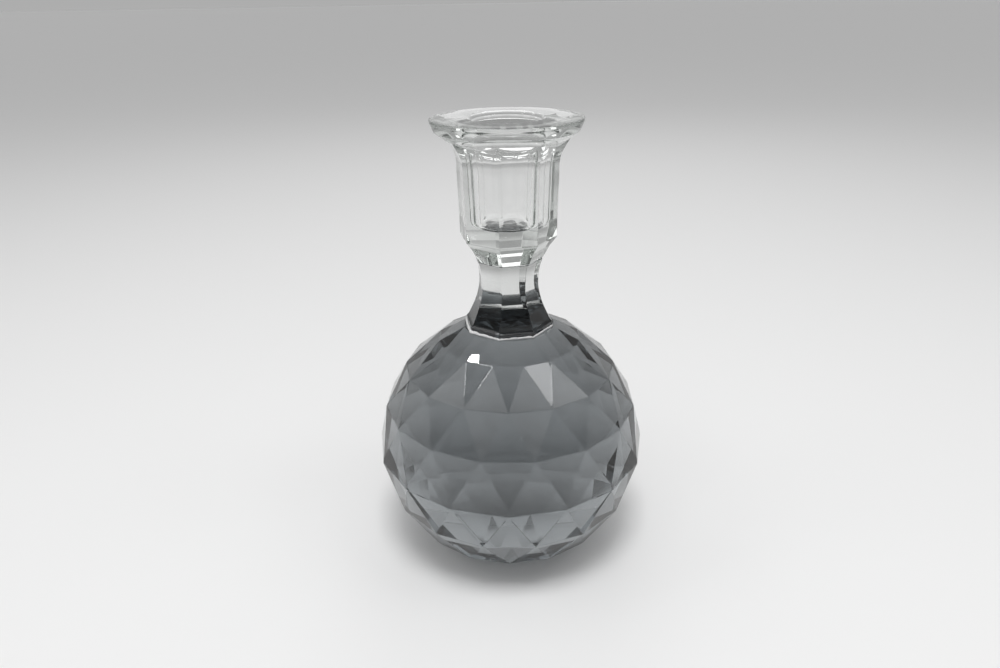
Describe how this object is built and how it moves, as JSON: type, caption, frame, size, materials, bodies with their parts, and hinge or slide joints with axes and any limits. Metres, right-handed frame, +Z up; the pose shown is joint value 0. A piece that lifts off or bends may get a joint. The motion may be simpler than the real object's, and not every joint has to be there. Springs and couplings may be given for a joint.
{
  "type": "candlestick",
  "caption": "Faceted tinted glass ball with a flat base, carrying a clear eight-sided neck and a flared clear cup for one dinner candle.",
  "frame": {"origin": "centre of the flat base of the ball, on the surface it stands on", "axes": "+Z up along the candle's axis; +X and +Y level, with one of the neck's eight flats facing -Y"},
  "size_m": [0.098, 0.098, 0.16],
  "materials": {
    "smoke_crystal": "polished smoke-grey crystal glass, tinted through its body, with cut facets",
    "clear_crystal": "polished clear crystal glass",
    "adhesive": "clear cured optical adhesive, glossy, with a few tiny bubbles"
  },
  "bodies": {
    "root": {"ball": "smoke_crystal", "lower_adhesive": "adhesive", "neck": "clear_crystal", "upper_adhesive": "adhesive", "candle_cup": "clear_crystal"}
  },
  "joints": []
}
